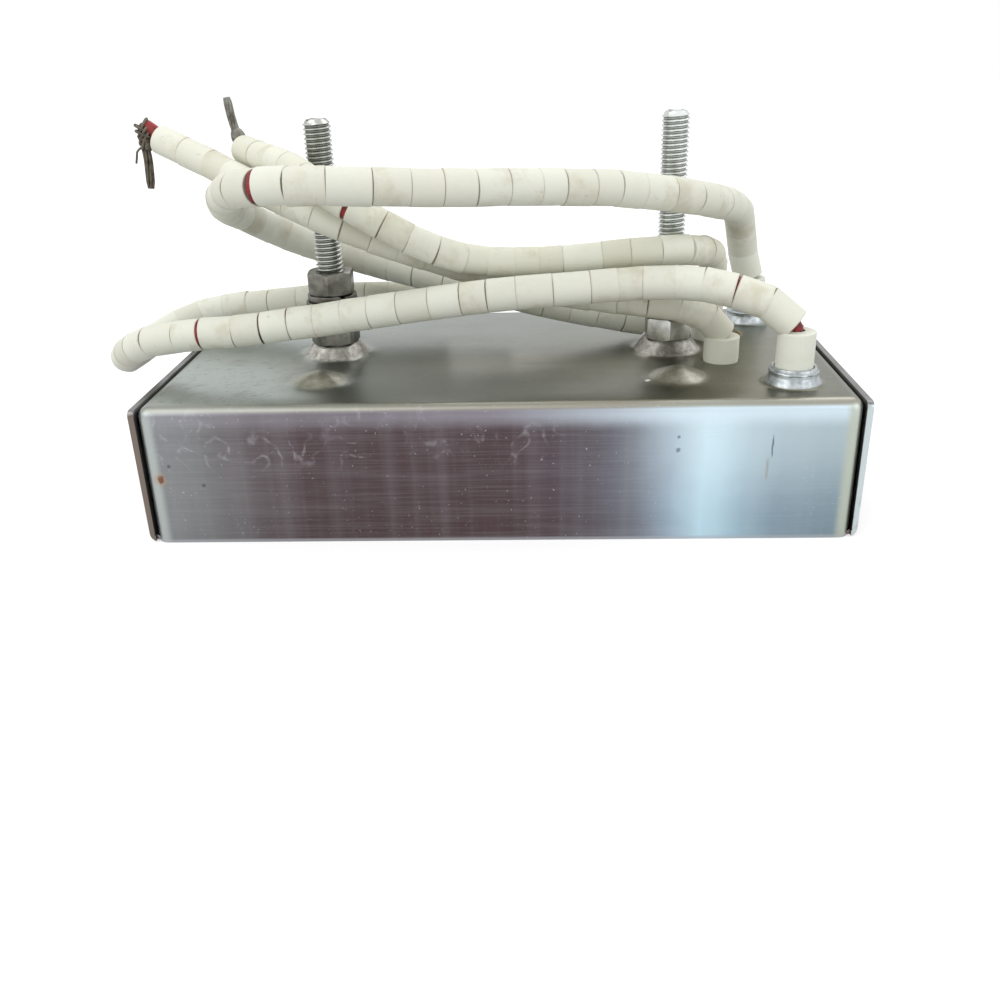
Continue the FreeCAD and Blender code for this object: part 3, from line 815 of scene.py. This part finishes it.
leadDesign = {
    "power_front": {
        "across": 5.8, "wire": 2.5, "seed": 3,
        "finish": "powerBeads", "start": 1.0, "red": {2: 0.2, 17: 0.25, 20: 0.2},
        "dark": {10: 0.15, 18: 0.2, 31: 0.2},
        "beads": [6.0, 5.6, 5.4, 5.1, 5.3, 4.4, 4.7, 6.4, 6.3, 5.1, 4.5, 5.5, 5.7, 5.3, 5.0, 5.2, 4.9,
            5.0, 4.9, 6.2, 4.6, 6.6, 5.2, 5.0] + [5.3] * 7 + [5.1, 4.7, 6.2] + [4.7] * 4 + [5.7] * 2,
        "route": [(50.6, -21.4, 34.1), (50.2, -21.4, 35.2), (48.4, -21, 37.2), (45.4, -20, 38.9),
            (40.9, -18.8, 40.3), (35.6, -17.2, 41.3), (28.3, -15.3, 41.4), (17.8, -15.4, 40.8),
            (5.8, -16.4, 40.2), (-7.1, -16, 39), (-20.5, -14.6, 36.9), (-34.3, -13.5, 34.7),
            (-46.1, -13.9, 33.4), (-56.3, -13.6, 32.8), (-64.5, -11, 31.1), (-70.6, -5.4, 27.5),
            (-74.4, 1.2, 24.1), (-75.7, 7.6, 22.7), (-73, 12.9, 24.6), (-67.9, 16.2, 27.5),
            (-60.8, 17.6, 29.7), (-50.6, 17, 30.8), (-36.6, 15.6, 32.2), (-23.1, 15.2, 32.7),
            (-11.8, 15, 31.8)]},
    "power_rear": {
        "across": 5.9, "wire": 2.5, "seed": 8,
        "finish": "powerBeads", "start": 0.2, "red": {22: 0.3}, "dark": {20: 0.15},
        "beads": [5.4, 5.3, 5.5, 5.4, 5.6, 5.0, 5.0, 5.6, 6.1, 5.9, 4.5, 4.5, 5.3, 4.1, 5.3, 5.3, 5.3,
            5.1, 5.8, 6.9, 5.8, 5.0] + [5.3] * 8 + [4.9, 3.6, 3.4, 3.6, 4.8, 4.8, 3.9, 5.0, 5.2,
            6.2, 6.7, 6.5, 6.5, 5.2, 5.3, 5.4, 4.4],
        "route": [(50.5, 20, 34.1), (50.3, 20, 35.1), (49, 20, 39.3), (47.8, 18, 44.7), (46.5, 14, 48.7),
            (42.7, 5.4, 51.1), (36, -7.4, 53.9), (26.6, -13.8, 56.3), (15.6, -18.6, 57.9),
            (1.5, -24, 58.7), (-12.2, -28.4, 59.5), (-23.9, -31.6, 60.6), (-33.5, -32.6, 60.8),
            (-39.9, -28, 59.9), (-45.5, -15.5, 57.2), (-49.6, -2.4, 53.6), (-49.4, 9.4, 50.1),
            (-42.6, 14, 45.2), (-30.2, 13.2, 41.3), (-17.8, 9.4, 38.7), (-6, 6.8, 36.4),
            (7.6, 6, 33.1), (19.2, 6.6, 30.4), (27.9, 8.2, 28.5)]},
    "probe_front": {
        "across": 5.4, "wire": 2.2, "seed": 5,
        "finish": "probeBeads", "start": 0.3, "red": {}, "dark": {1: 0.2, 20: 0.3},
        "beads": [4.7, 6.2] + [5.2] * 18 + [6.2, 6.0],
        "route": [(40.8, -7.7, 29.6), (40.8, -7.7, 30.7), (38.8, -8, 32.8), (34.9, -8.8, 34.7),
            (31, -9.5, 36.1), (24.6, -8.8, 36.4), (16.8, -6.7, 37), (7.5, -4.4, 38.2),
            (-3.2, -4.2, 41.4), (-12.2, -5.5, 44.4), (-21.1, -7.7, 48), (-30.1, -8.4, 51.7),
            (-38.9, -6.4, 55.7), (-48.5, 1.8, 58.4), (-56.4, 6.3, 61.5), (-64.4, 9.2, 64.8)]},
    "probe_rear": {
        "across": 5.3, "wire": 2.2, "seed": 11,
        "finish": "probeBeads", "start": 0.3, "red": {17: 0.3},
        "dark": {9: 0.25, 14: 0.22, 16: 0.25, 22: 0.3},
        "beads": [5.4, 5.3, 5.4, 5.4, 5.3, 5.0, 5.1, 5.0, 7.1, 4.3, 4.2, 4.8, 4.2, 5.3, 5.1, 5.1, 6.3,
            4.9, 4.9, 4.9, 4.9, 6.9, 6.3],
        "route": [(40.8, 7.7, 29.6), (40.8, 7.7, 35.9), (40.7, 4.6, 41.2), (38.4, -2.2, 43.9),
            (34.2, -8, 45.4), (27.3, -9.4, 45.4), (18.3, -8.8, 44.5), (7.6, -9.1, 43.7),
            (-2.9, -10, 44.1), (-10.6, -12, 46.6), (-19.6, -13.3, 51.5), (-28.1, -12.5, 56.7),
            (-35.5, -7.4, 60.8), (-43.1, 2.8, 61.6), (-47.6, 8, 62.4)]},
}


def curved(name, points, smooth, resolution=12):
    # a line through points in metres; a smooth one only leans towards them
    curve = bpy.data.curves.new(name, "CURVE")
    curve.dimensions = "3D"
    curve.resolution_u = resolution
    spline = curve.splines.new("NURBS" if smooth else "POLY")
    spline.points.add(len(points) - 1)
    for point, place in zip(spline.points, points):
        point.co = (*place, 1)
    if smooth:
        spline.order_u = 3
        spline.use_endpoint_u = True
    return linked(name, curve)


def meshOf(holder):
    mesh = bpy.data.meshes.new_from_object(holder)
    bpy.data.objects.remove(holder)
    return mesh


def tubeAlong(name, points, radius, fineness, smooth=False, resolution=12):
    holder = curved("route", points, smooth, resolution)
    holder.data.bevel_depth = radius
    holder.data.bevel_resolution = fineness
    holder.data.use_fill_caps = True
    return linked(name, meshOf(holder))


def metres(points):
    return [[c * mm for c in point] for point in points]


class Line:
    # a route's smooth line, with places given by their distance along it
    def __init__(self, route):
        mesh = meshOf(curved("route", metres(route), True, 16))
        self.points = [v.co.copy() for v in mesh.vertices]
        bpy.data.meshes.remove(mesh)
        self.reach = [0]
        for a, b in zip(self.points, self.points[1:]):
            self.reach.append(self.reach[-1] + (b - a).length)
        self.length = self.reach[-1]

    def at(self, distance):
        if distance >= self.length:
            last = (self.points[-1] - self.points[-2]).normalized()
            return self.points[-1] + last * (distance - self.length)
        i = max(j for j, s in enumerate(self.reach) if s <= max(distance, 0))
        i = min(i, len(self.points) - 2)
        step = self.reach[i + 1] - self.reach[i]
        return self.points[i].lerp(self.points[i + 1], (distance - self.reach[i]) / step)

    def heading(self, distance):
        return (self.at(distance + 0.2 * mm) - self.at(max(distance - 0.2 * mm, 0))).normalized()


# one bead is modelled at this length, and each bead's halves are moved apart from it
beadDesign = {
    "model": 2 * mm,
    "sides": 32,
    "play": 0.12 * mm,
    "dome": 0.6 * mm,
    "shoulder": 0.72,
    "belly": 1.004,
    "edge": [(0.15, 0), (0.04, 0.04), (0, 0.14), (0, 0.35)],
    "rimFrom": 0.84,
    "rimWide": 0.14,
    "rims": (0.05, 0.15, 0.3, 0.5, 0.9),
    "gaps": (0.02, 0.03, 0.04, 0.06),
    "press": 0.8,
    "tilt": 0.012,
    "shift": 0.07 * mm,
    "fat": (0.98, 1.008),
    "ring": 0.43,
    "ringLong": 1.3 * mm,
}


def beadOutline(radius, bore, long, dome):
    # flat-sided, with crisp edges; one end is hollow and the other bulges into the next bead's hollow
    d = beadDesign
    half = long / 2
    outline = [(bore, -half + dome), (radius * d["shoulder"], -half + dome * 0.6)]
    outline += [(radius - inset * mm, -half + down * mm) for inset, down in d["edge"]]
    outline += [(radius * d["belly"], 0)]
    outline += [(radius - inset * mm, half - down * mm) for inset, down in reversed(d["edge"])]
    return outline + [(radius * d["shoulder"], half + dome * 0.5), (bore, half + dome * 0.9)]


def buildBeads(name, line, lead):
    d = beadDesign
    draw = random.Random(lead["seed"])
    radius = lead["across"] / 2 * mm
    bore = lead["wire"] / 2 * mm + d["play"]
    model = spun("bead", beadOutline(radius, bore, d["model"], d["dome"]), Vector((0, 0, 0)), d["sides"])
    shape = [v.co.copy() for v in model.data.vertices]
    faces = [tuple(p.vertices) for p in model.data.polygons]
    bpy.data.objects.remove(model)
    corners, sides, tone, rim, grime, joints = [], [], [], [], [], []
    place = lead["start"] * mm
    before = 0
    for number, long in enumerate(lead["beads"], 1):
        a, b = line.at(place), line.at(place + long * mm)
        isRed, isDark = number in lead["red"], number in lead["dark"]
        gap = lead["red"].get(number) or lead["dark"].get(number) or draw.choice(d["gaps"])
        axis = (b - a).normalized()
        # beads in a bend press into each other, so that no wedge stays open
        turned = axis.angle(line.at(place + (long + 5) * mm) - b)
        after = 0 if isRed else radius * d["press"] * math.tan(turned / 2)
        if isRed or isDark:
            joints.append((b + axis * (after - gap * 0.5 * mm), axis, isRed))
        tilt = Vector([draw.gauss(0, 1) for axisName in "xyz"]) * d["tilt"]
        turn = (axis + tilt).to_track_quat("Z", "Y").to_matrix().to_4x4()
        shift = Vector([draw.uniform(-1, 1) for axisName in "xyz"]) * d["shift"]
        move = Matrix.Translation(a.lerp(b, 0.5) + axis * (after - before - gap * mm) / 2 + shift) @ turn
        longer = ((b - a).length + after + before - gap * mm - d["model"]) / 2
        fat = draw.uniform(*d["fat"])
        shade, dirt = draw.random(), draw.random()
        ends = [draw.choice(d["rims"]) for end in range(2)]
        first = len(corners)
        for co in shape:
            along = co.z + math.copysign(longer, co.z) if abs(co.z) > 1e-9 else 0
            corners.append(move @ Vector((co.x * fat, co.y * fat, along)))
            tone.append(shade)
            # a thin line along each end
            rimShare = min(1, max(0, (abs(co.z) / mm - d["rimFrom"]) / d["rimWide"]))
            rim.append(rimShare * ends[co.z > 0])
            grime.append(dirt)
        sides += [tuple(first + i for i in face) for face in faces]
        place += long * mm
        before = after
    mesh = bpy.data.meshes.new(name)
    mesh.from_pydata(corners, [], sides)
    marked(mesh, tone=tone, rim=rim, grime=grime)
    print("   ", name, len(lead["beads"]), "beads,", round(line.length / mm, 1), "mm")
    return linked(name, mesh), joints


def jointRings(name, joints, radius, red):
    # rings in the open joints: red insulation in the red ones, and a dark ring in the bare wire's finish in
    # the others
    rings = []
    for place, axis, isRed in joints:
        if isRed == red:
            turn = axis.to_track_quat("Z", "Y").to_euler()
            bpy.ops.mesh.primitive_cylinder_add(vertices=32, radius=radius, depth=beadDesign["ringLong"],
                                                location=place, rotation=turn)
            rings.append(settle(bpy.context.object))
    return joined(name, rings) if rings else None


bushDesign = {"bore": 1.3 * mm, "shorter": 0.1 * mm, "dome": 0.1 * mm, "sides": 40,
              "look": {"tone": 0.1, "rim": 0.0, "grime": 0.0}}


def bushBead(name, node, finish):
    d = bushDesign
    low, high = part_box(node)
    centre = Vector((*middle(node), (low.z + high.z) / 2))
    outline = beadOutline((high.x - low.x) / 2, d["bore"], high.z - low.z - d["shorter"], d["dome"])
    bead = spun(name, outline, centre, d["sides"])
    marked(bead.data, **{key: [value] * len(bead.data.vertices) for key, value in d["look"].items()})
    return finished(bead, finish, [node])


# bare ends: strands twisted round a route of their own

endDesign = {
    "power_front": {
        "finish": "darkWire", "strands": 6, "strand": 0.27, "lay": 0.52,
        "twist": 9, "flat": 1.0,
        "route": [(-11.8, 15, 31.8), (-7.4, 14.8, 31.4), (-3.2, 13.8, 30.7), (1.8, 13, 30.9)]},
    "power_rear": {
        "finish": "brassWire", "strands": 5, "strand": 0.24, "lay": 0.36,
        "twist": 14, "flat": 1.0,
        "route": [(27.5, 8.1, 28.5), (30.6, 9.2, 27.6), (34.2, 11.2, 26.5), (39.4, 13, 26.1),
                  (44.8, 11, 26.1), (46.9, 5.2, 26.1)]},
    "probe_front": {
        "finish": "darkWire", "strands": 6, "strand": 0.27, "lay": 0.62,
        "twist": 60, "flat": 0.45,
        "route": [(-65.6, 9.8, 66.6), (-67.2, 10, 66.6), (-66.9, 9.7, 64), (-66.5, 9.5, 61.2),
                  (-66.7, 9.6, 58.2), (-66.9, 9.6, 55.5)],
        "knob": {"from": (-66.6, 9.7, 67.0), "to": (-66.0, 9.5, 62.8), "radius": 1.4},
        "wraps": {"from": (-66.6, 9.7, 66.6), "to": (-66.0, 9.5, 63.6), "slants": (1.2, -1.3), "turns": 3,
                  "reach": 1.45, "strand": 0.3},
        "stray": {"strand": 0.2, "route": [(-67.2, 9.6, 63.2), (-68.3, 9.2, 62.6), (-68.5, 9.2, 61.4),
                                           (-68.9, 9.4, 60.2)]}},
    "probe_rear": {
        "finish": "greyWire", "strands": 7, "strand": 0.30, "lay": 0.50,
        "twist": 30, "flat": 1.0,
        "route": [(-47.6, 8, 62.9), (-48.6, 9, 64.4), (-49.2, 9.2, 66.4), (-49.6, 9.1, 69), (-49.9, 9, 71.5)],
        "knob": {"from": (-47.8, 8.2, 62.9), "to": (-49.0, 9.0, 65.9), "radius": 1.35}},
}


def wrapPoints(w, slant):
    # turns of wire wound aslant round a bundle, growing and shrinking a little
    a, b = (Vector(w[key]) * mm for key in ("from", "to"))
    axis = (b - a).normalized()
    aside = axis.cross(Vector((0, 1, 0))).normalized()
    other = axis.cross(aside)
    count = w["turns"] * 20
    points = []
    for i in range(count + 1):
        angle = 2 * math.pi * w["turns"] * i / count
        reach = w["reach"] * mm * (0.8 + 0.2 * math.sin(math.pi * i / count))
        outward = aside * math.cos(angle) + other * math.sin(angle)
        points.append(a.lerp(b, i / count) + outward * reach + axis * slant * mm * math.cos(angle))
    return points


def strandPoints(line, d, number, count=40):
    # the strands lie round the last one, twist, and close up towards the tip
    points = []
    for i in range(count + 1):
        along = line.length * i / count
        heading = line.heading(along)
        aside = heading.cross(Vector((0.1, 1, 0.1))).normalized()
        other = heading.cross(aside)
        angle = 2 * math.pi * (number / d["strands"] + along / (d["twist"] * mm))
        spread = d["lay"] * mm if number < d["strands"] else 0
        spread *= 1 - 3.5 * max(0, i / count - 0.9)
        away = aside * math.cos(angle) + other * math.sin(angle) * d["flat"]
        points.append(line.at(along) + away * spread)
    return points


def knobOf(d):
    # a short thick place where the strands are wound together
    a, b = (Vector(d[key]) * mm for key in ("from", "to"))
    turn = (b - a).to_track_quat("Z", "Y").to_euler()
    bpy.ops.mesh.primitive_uv_sphere_add(segments=24, ring_count=14, radius=1,
                                         location=(a + b) / 2, rotation=turn)
    wide = d["radius"] * mm
    bpy.context.object.scale = (wide, wide, (b - a).length * 0.62)
    return settle(bpy.context.object)


def buildBareEnd(wire, title):
    d = endDesign[wire]
    line = Line(d["route"])
    strands = [tubeAlong("strand", strandPoints(line, d, number), d["strand"] * mm, 2)
               for number in range(d["strands"] + 1)]
    if "wraps" in d:
        w = d["wraps"]
        strands += [tubeAlong("strand", wrapPoints(w, slant), w["strand"] * mm, 2) for slant in w["slants"]]
    if "stray" in d:
        s = d["stray"]
        strands.append(tubeAlong("strand", metres(s["route"]), s["strand"] * mm, 2, smooth=True))
    if "knob" in d:
        strands.append(knobOf(d["knob"]))
    return finished(joined(f"bareEnd{title}", strands), d["finish"], [f"bare_end_{wire}"], 60)


sleeveDesign = {"radius": 1.15 * mm, "route": [(-62.4, 8.5, 64.4), (-64.4, 9.3, 66), (-66, 9.8, 66.9)]}


def buildSleeve():
    d = sleeveDesign
    sleeve = tubeAlong("sleeve", metres(d["route"]), d["radius"], 4, smooth=True, resolution=16)
    return finished(sleeve, "red", ["sleeve_probe_front"], 60)


sleeve = buildSleeve()
for wire, d in leadDesign.items():
    line = Line(d["route"])
    title = wire.title().replace("_", "")
    beads, joints = buildBeads(f"beads{title}", line, d)
    beads = finished(beads, d["finish"], [f"lead_{wire}"], 40)
    inside = tubeAlong(f"wire{title}", metres(d["route"]), d["wire"] / 2 * mm, 4, smooth=True, resolution=16)
    extra = [finished(inside, "red", [], 60), buildBareEnd(wire, title)]
    for red, finish, slot in ((True, "red", "wire_insulation"), (False, "darkWire", "bare_wire")):
        radius = d["across"] * beadDesign["ring"] * mm
        rings = jointRings(f"joints{finish.title()}{title}", joints, radius, red)
        if rings:
            extra.append(finished(rings, finish, []))
    if wire == "probe_front":
        extra.append(sleeve)
    [c * mm for c in d["route"][0]]
    d["across"] * mm
    bushBead(f"bush{title}", f"bush_{wire}", d["finish"])
print("leads made")


# quartz tubes and heating coils, seen from below

tubeDesign = {"wall": 1.0 * mm, "soft": 0.25 * mm, "sides": 40}
coilDesign = {"wire": 0.3 * mm, "pitch": 1.5 * mm, "steps": 18}


def buildTube(number):
    d = tubeDesign
    low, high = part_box(f"quartz_tube_{number}")
    y, z, r = (low.y + high.y) / 2, (low.z + high.z) / 2, (high.y - low.y) / 2
    outline = roundedRing(r - d["wall"], r, high.x - low.x, d["soft"])
    tube = spun(f"quartzTube{number}", outline, Vector((0, 0, 0)), d["sides"])
    tube.data.transform(Matrix.Translation((low.x, y, z)) @ Matrix.Rotation(math.radians(90), 4, "Y"))
    return finished(tube, "quartz", [f"quartz_tube_{number}"])


def buildCoil(number):
    d = coilDesign
    low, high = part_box(f"heating_coil_{number}")
    y, z, r = (low.y + high.y) / 2, (low.z + high.z) / 2, (high.y - low.y) / 2 - d["wire"]
    first, long = low.x + d["wire"], high.x - low.x - 2 * d["wire"]
    turns = long / d["pitch"]
    count = int(turns * d["steps"])
    points = []
    for i in range(count + 1):
        angle = 2 * math.pi * turns * i / count
        points.append((first + long * i / count, y + r * math.cos(angle), z + r * math.sin(angle)))
    coil = tubeAlong(f"heatingCoil{number}", points, d["wire"], 1)
    return finished(coil, "coil", [f"heating_coil_{number}"], 60)


for number in range(1, 7):
    buildTube(number)
    buildCoil(number)
print("tubes and coils made")

# plain solids that stay as they are and only get a finish
carried = {
    "reflector": "reflector", "insulation_pad": "fibre", "sensor_probe": "probe",
    "coil_links_left": "coil", "coil_links_right": "coil",
    "core_power_front": "darkWire", "core_power_rear": "darkWire",
    "core_probe_front": "darkWire", "core_probe_rear": "darkWire",
}
for node, finish in carried.items():
    nodes[node].data.materials.clear()
    nodes[node].data.materials.append(finishes[finish])


# floor, light and camera

stageDesign = {"floor": rgb(200, 200, 200), "size": 3.0, "glow": 0.465, "world": 0.93}

# lamps in metres and watts
lampDesign = {
    "key": {"place": (-0.60, -0.45, 0.85), "size": (1.0, 1.0), "watts": 5.2, "colour": (1, 1, 1)},
    "fill": {"place": (0.75, -0.55, 0.45), "size": (0.8, 0.8), "watts": 2.2, "colour": (0.96, 0.98, 1.0)},
    "back": {"place": (0.2, 0.55, 0.85), "size": (0.8, 0.5), "watts": 2.0, "colour": (1, 1, 1)},
}


def buildStage():
    bpy.ops.mesh.primitive_plane_add(size=stageDesign["size"], location=(0, 0, -0.00005))
    floor = settle(bpy.context.object, "floor")
    f = Finish("floor")
    f.set(Base_Color=stageDesign["floor"], Roughness=0.9, Specular_IOR_Level=0.0)
    f.set(Emission_Color=(1, 1, 1, 1), Emission_Strength=f.lightRay() * stageDesign["glow"])
    floor.data.materials.append(f.material)
    world = bpy.data.worlds.new("studio")
    bpy.context.scene.world = world
    world.use_nodes = True
    graph = Graph(world.node_tree)
    level = graph.lightRay() * (1 - stageDesign["world"]) + stageDesign["world"]
    background = world.node_tree.nodes["Background"]
    background.inputs["Color"].default_value = (1, 1, 1, 1)
    world.node_tree.links.new(level.socket, background.inputs["Strength"])


def lamp(name, d, aim=(0, 0, 0.03)):
    light = bpy.data.lights.new(name, "AREA")
    light.shape = "RECTANGLE"
    light.size, light.size_y = d["size"]
    light.energy = d["watts"]
    light.color = d["colour"]
    holder = linked(name, light)
    holder.location = d["place"]
    holder.rotation_euler = (Vector(aim) - Vector(d["place"])).to_track_quat("-Z", "Y").to_euler()


cameraDesign = {
    "place": Vector((7.323, -187.921, 80.415)) * mm,
    "yaw": -2.497,
    "pitch": 23.791,
    "roll": -1.573,
    "focal": 36.215,
    "sensor": 36,
    "shiftUp": -0.0190,
}


def buildCamera():
    d = cameraDesign
    yaw, pitch, roll = (math.radians(d[k]) for k in ("yaw", "pitch", "roll"))
    ahead = Vector((math.sin(yaw) * math.cos(pitch), math.cos(yaw) * math.cos(pitch), -math.sin(pitch)))
    right = Vector((math.cos(yaw), -math.sin(yaw), 0))
    up = right.cross(ahead)
    right, up = right * math.cos(roll) + up * math.sin(roll), up * math.cos(roll) - right * math.sin(roll)
    camera = bpy.data.cameras.new("camera")
    camera.lens = d["focal"]
    camera.sensor_width = d["sensor"]
    camera.shift_y = d["shiftUp"]
    camera.clip_start = 0.01
    holder = linked("camera", camera)
    turn = Matrix((right, up, -ahead)).transposed()
    holder.matrix_world = Matrix.Translation(d["place"]) @ turn.to_4x4()
    bpy.context.scene.camera = holder


buildStage()
for name, d in lampDesign.items():
    lamp(name, d)
buildCamera()
bpy.context.scene.view_settings.view_transform = "Standard"
print("stage made")
